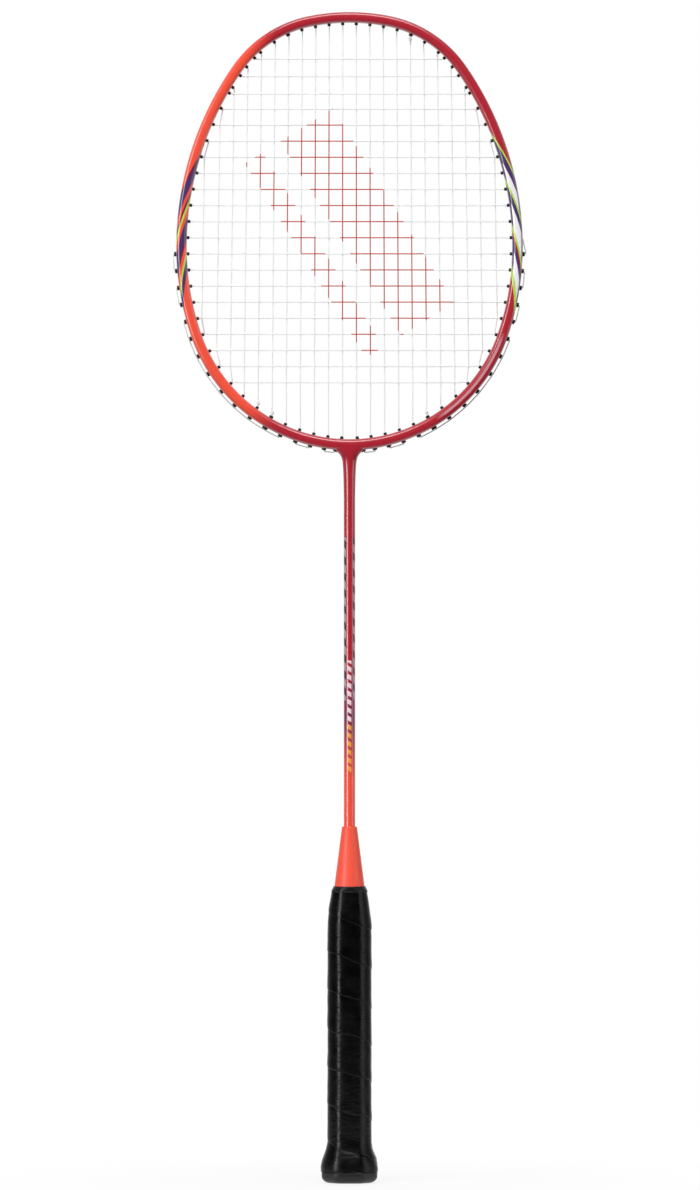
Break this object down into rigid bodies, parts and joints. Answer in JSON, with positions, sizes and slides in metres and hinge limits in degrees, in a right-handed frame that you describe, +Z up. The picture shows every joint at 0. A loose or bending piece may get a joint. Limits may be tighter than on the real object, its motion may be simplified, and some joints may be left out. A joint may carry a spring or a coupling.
{
  "type": "badminton racket",
  "caption": "Badminton racket with an oval strung head, hidden throat joint, slim round shaft, tapered cone, wound eight-sided grip and flared butt.",
  "frame": {"origin": "middle of the flat face of the butt cap", "axes": "+Z up the shaft to the head, +X across the head, -Y towards the face of the string bed seen in the picture"},
  "size_m": [0.2038, 0.0304, 0.675],
  "materials": {
    "frame_paint": "gloss lacquer, orange-red at the left fading to crimson",
    "joint_resin": "plain moulded resin",
    "shaft_paint": "gloss lacquer, crimson fading to orange-red near the cone",
    "cone_plastic": "smooth satin plastic",
    "handle_wood": "bare light wood",
    "cap_plastic": "fine matt black plastic",
    "grip_tape": "soft black tape with a low sheen",
    "tape_band": "thin black adhesive tape",
    "grommet_nylon": "black nylon",
    "string_nylon": "pale coated nylon string"
  },
  "bodies": {
    "root": {"frame_hoop": "frame_paint", "t_joint": "joint_resin", "shaft": "shaft_paint", "cone": "cone_plastic", "handle_core": "handle_wood", "butt_cap": "cap_plastic", "grip_wrap": "grip_tape", "finishing_tape": "tape_band", "upper_main_grommets": "grommet_nylon", "lower_main_grommets": "grommet_nylon", "left_cross_grommets": "grommet_nylon", "right_cross_grommets": "grommet_nylon", "left_shared_grommets": "grommet_nylon", "right_shared_grommets": "grommet_nylon", "tie_off_grommets": "grommet_nylon", "main_string": "string_nylon", "cross_string": "string_nylon", "string_knots": "string_nylon"}
  },
  "joints": []
}
